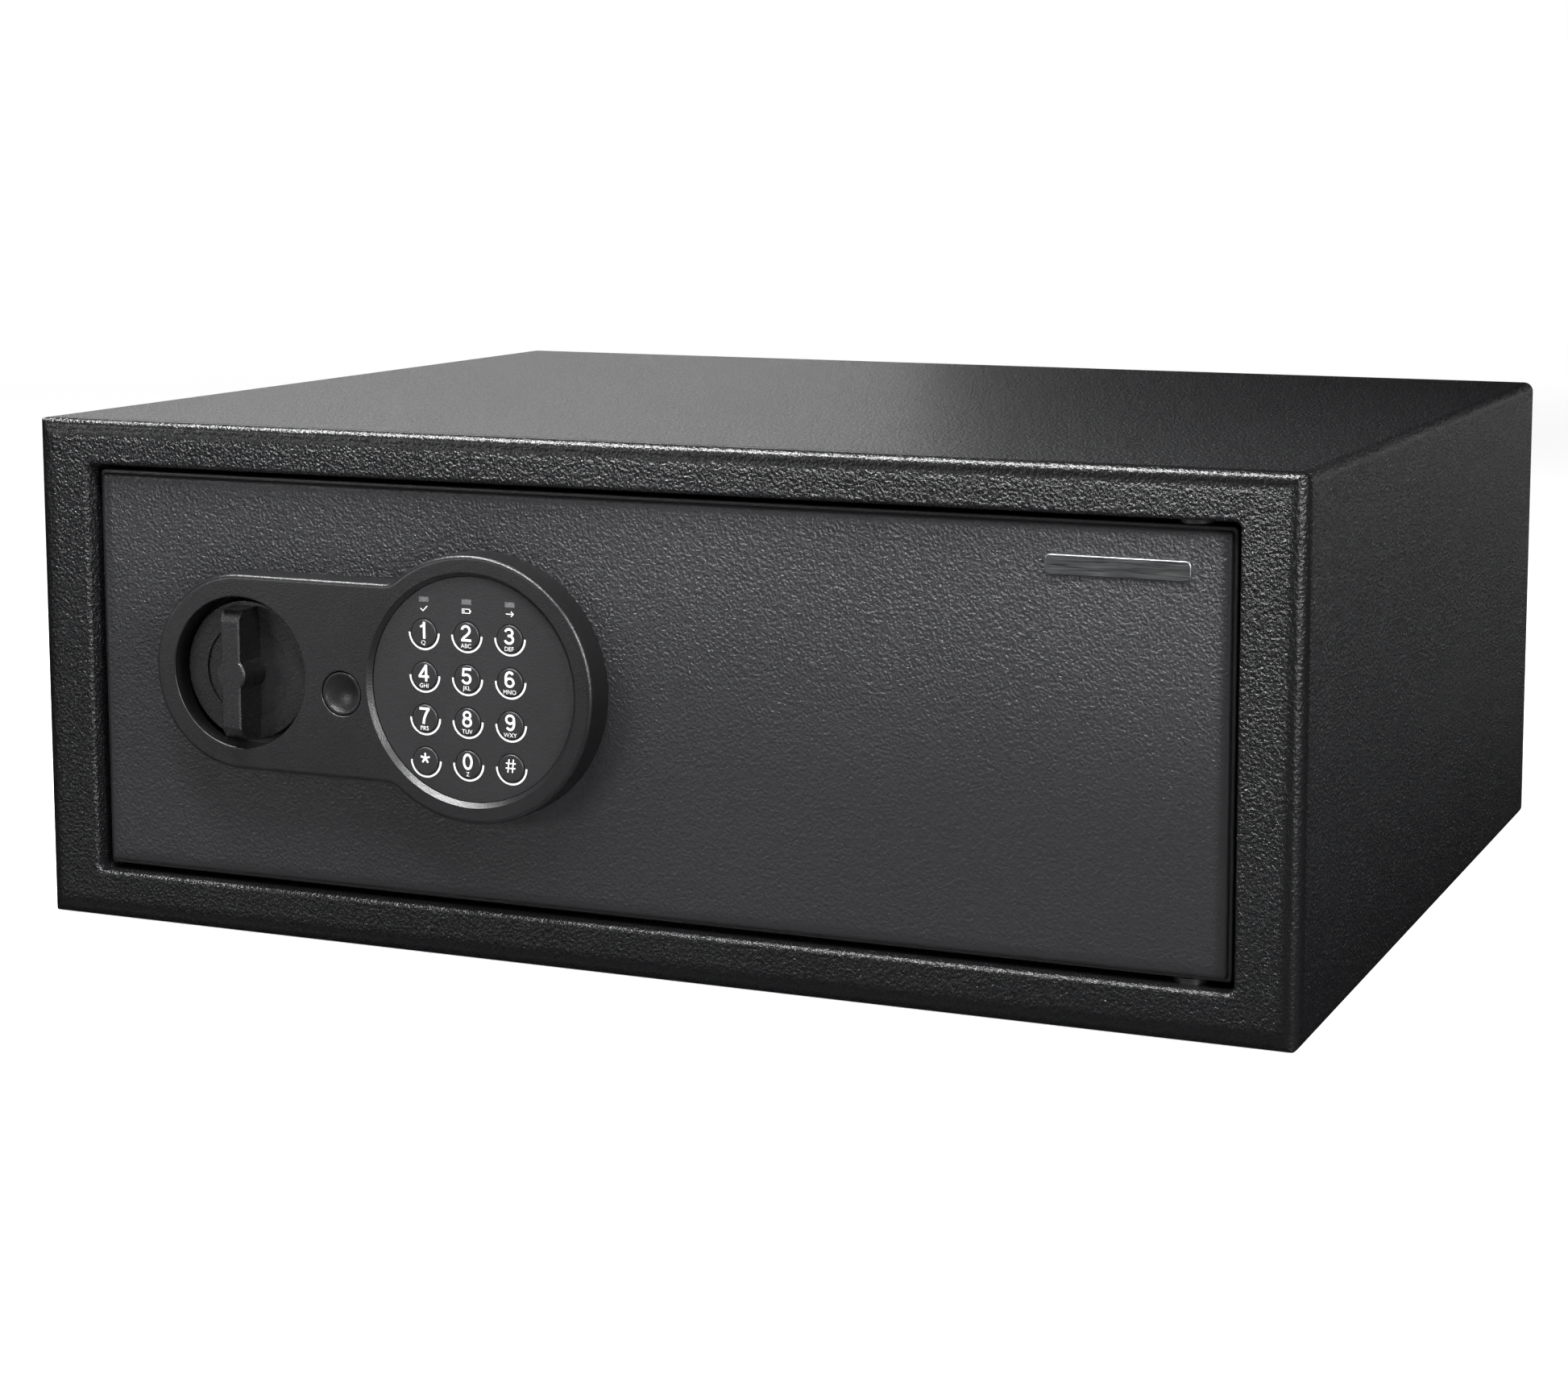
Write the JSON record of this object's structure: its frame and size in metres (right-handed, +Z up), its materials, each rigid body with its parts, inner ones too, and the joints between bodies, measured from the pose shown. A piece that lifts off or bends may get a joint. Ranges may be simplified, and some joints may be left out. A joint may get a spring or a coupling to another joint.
{
  "type": "in-room safe",
  "caption": "Low black steel hotel safe with a recessed hinged door, turn knob, round keypad and capped override lock.",
  "frame": {"origin": "middle of the underside of the cabinet", "axes": "+X to the right along the width (the longest extent), -Y out of the door side, +Z up along the height (the shortest extent)"},
  "size_m": [0.508, 0.415, 0.197],
  "materials": {
    "cabinet_paint": "hammered charcoal-black powder coat",
    "door_paint": "hammered charcoal-black powder coat",
    "felt": "needle felt",
    "plated_steel": "zinc plated",
    "nylon": "natural nylon",
    "housing_plastic": "fine-grained black ABS",
    "knob_plastic": "fine-grained black ABS",
    "face_plastic": "fine-grained black with white print",
    "badge_metal": "satin, blank",
    "key_rubber": "satin black with white print",
    "lens": "grey light window",
    "board": "green circuit board",
    "dome_metal": "bare",
    "ribbon": "grey flat cable",
    "bronze": "copper coloured",
    "lock_brass": "satin",
    "cell_wrap": "plain wrap, no print",
    "button_red": "satin red"
  },
  "bodies": {
    "cabinet": {"cabinet_body": "cabinet_paint", "back_panel": "cabinet_paint", "floor_mat": "felt", "hinge_bracket_lower": "plated_steel", "hinge_bracket_upper": "plated_steel", "hinge_pin_lower": "plated_steel", "hinge_pin_upper": "plated_steel", "hinge_washers": "nylon"},
    "door": {"door_plate": "door_paint", "hinge_block_lower": "door_paint", "hinge_block_upper": "door_paint", "badge_plate": "badge_metal", "lock_housing": "housing_plastic", "housing_screws": "plated_steel", "keypad_face": "face_plastic", "indicator_lenses": "lens", "keypad_board": "board", "keypad_switches": "dome_metal", "keypad_ribbon": "ribbon", "control_board": "board", "spindle_bush": "bronze", "bolt_guide": "door_paint", "carriage_posts": "plated_steel", "carriage_screws": "plated_steel", "solenoid_frame": "plated_steel", "solenoid_coil": "bronze", "override_lock_body": "lock_brass", "override_lock_nut": "plated_steel", "inner_cover": "door_paint", "cover_posts": "plated_steel", "cover_screws": "plated_steel", "battery_box": "housing_plastic", "battery_cells": "cell_wrap", "battery_contacts": "plated_steel", "reset_switch": "button_red"},
    "knob": {"turn_knob": "knob_plastic", "knob_spindle": "plated_steel", "cam_lever": "plated_steel", "crank_pin": "plated_steel"},
    "bolts": {"bolt_carriage": "plated_steel", "locking_bolts": "plated_steel"},
    "blocking_pin": {"solenoid_plunger": "plated_steel", "plunger_spring": "plated_steel"},
    "cap": {"override_cap": "housing_plastic"},
    "override": {"override_plug": "lock_brass", "override_cam": "plated_steel"},
    "battery_door": {"battery_cover": "housing_plastic"},
    "reset": {"reset_button": "button_red"},
    "key_1": {"key_1": "key_rubber"},
    "key_2": {"key_2": "key_rubber"},
    "key_3": {"key_3": "key_rubber"},
    "key_4": {"key_4": "key_rubber"},
    "key_5": {"key_5": "key_rubber"},
    "key_6": {"key_6": "key_rubber"},
    "key_7": {"key_7": "key_rubber"},
    "key_8": {"key_8": "key_rubber"},
    "key_9": {"key_9": "key_rubber"},
    "key_star": {"key_star": "key_rubber"},
    "key_0": {"key_0": "key_rubber"},
    "key_hash": {"key_hash": "key_rubber"}
  },
  "joints": [
    {"name": "door_hinge", "type": "hinge", "parent": "cabinet", "child": "door", "pos_m": [0.2127, -0.1875, 0.099], "axis": [0, 0, 1], "range_deg": [0, 100]},
    {"name": "knob_turn", "type": "hinge", "parent": "door", "child": "knob", "pos_m": [-0.157, -0.195, 0.104], "axis": [0, -1, 0], "range_deg": [0, 90]},
    {"name": "bolt_slide", "type": "slide", "parent": "door", "child": "bolts", "axis": [-1, 0, 0], "range_m": [0, 0.016]},
    {"name": "blocking_pin_slide", "type": "slide", "parent": "door", "child": "blocking_pin", "axis": [0, 1, 0], "range_m": [0, 0.008], "deforming": ["plunger_spring"]},
    {"name": "cap_pull", "type": "slide", "parent": "door", "child": "cap", "axis": [0, -1, 0], "range_m": [0, 0.012]},
    {"name": "override_turn", "type": "hinge", "parent": "door", "child": "override", "pos_m": [-0.1122, -0.184, 0.099], "axis": [0, 1, 0], "range_deg": [0, 90]},
    {"name": "battery_cover_off", "type": "slide", "parent": "door", "child": "battery_door", "axis": [0, 1, 0], "range_m": [0, 0.015]},
    {"name": "reset_press", "type": "slide", "parent": "door", "child": "reset", "axis": [0, -1, 0], "range_m": [0, 0.0015], "stiffness_N_per_m": 500},
    {"name": "key_1_press", "type": "slide", "parent": "door", "child": "key_1", "axis": [0, 1, 0], "range_m": [0, 0.0008], "stiffness_N_per_m": 500},
    {"name": "key_2_press", "type": "slide", "parent": "door", "child": "key_2", "axis": [0, 1, 0], "range_m": [0, 0.0008], "stiffness_N_per_m": 500},
    {"name": "key_3_press", "type": "slide", "parent": "door", "child": "key_3", "axis": [0, 1, 0], "range_m": [0, 0.0008], "stiffness_N_per_m": 500},
    {"name": "key_4_press", "type": "slide", "parent": "door", "child": "key_4", "axis": [0, 1, 0], "range_m": [0, 0.0008], "stiffness_N_per_m": 500},
    {"name": "key_5_press", "type": "slide", "parent": "door", "child": "key_5", "axis": [0, 1, 0], "range_m": [0, 0.0008], "stiffness_N_per_m": 500},
    {"name": "key_6_press", "type": "slide", "parent": "door", "child": "key_6", "axis": [0, 1, 0], "range_m": [0, 0.0008], "stiffness_N_per_m": 500},
    {"name": "key_7_press", "type": "slide", "parent": "door", "child": "key_7", "axis": [0, 1, 0], "range_m": [0, 0.0008], "stiffness_N_per_m": 500},
    {"name": "key_8_press", "type": "slide", "parent": "door", "child": "key_8", "axis": [0, 1, 0], "range_m": [0, 0.0008], "stiffness_N_per_m": 500},
    {"name": "key_9_press", "type": "slide", "parent": "door", "child": "key_9", "axis": [0, 1, 0], "range_m": [0, 0.0008], "stiffness_N_per_m": 500},
    {"name": "key_star_press", "type": "slide", "parent": "door", "child": "key_star", "axis": [0, 1, 0], "range_m": [0, 0.0008], "stiffness_N_per_m": 500},
    {"name": "key_0_press", "type": "slide", "parent": "door", "child": "key_0", "axis": [0, 1, 0], "range_m": [0, 0.0008], "stiffness_N_per_m": 500},
    {"name": "key_hash_press", "type": "slide", "parent": "door", "child": "key_hash", "axis": [0, 1, 0], "range_m": [0, 0.0008], "stiffness_N_per_m": 500}
  ],
  "couplings": [
    {"joint": "knob_turn", "follows": "bolt_slide", "rad_per_m": 98.175},
    {"joint": "blocking_pin_slide", "follows": "bolt_slide", "ratio": 0.4999}
  ]
}
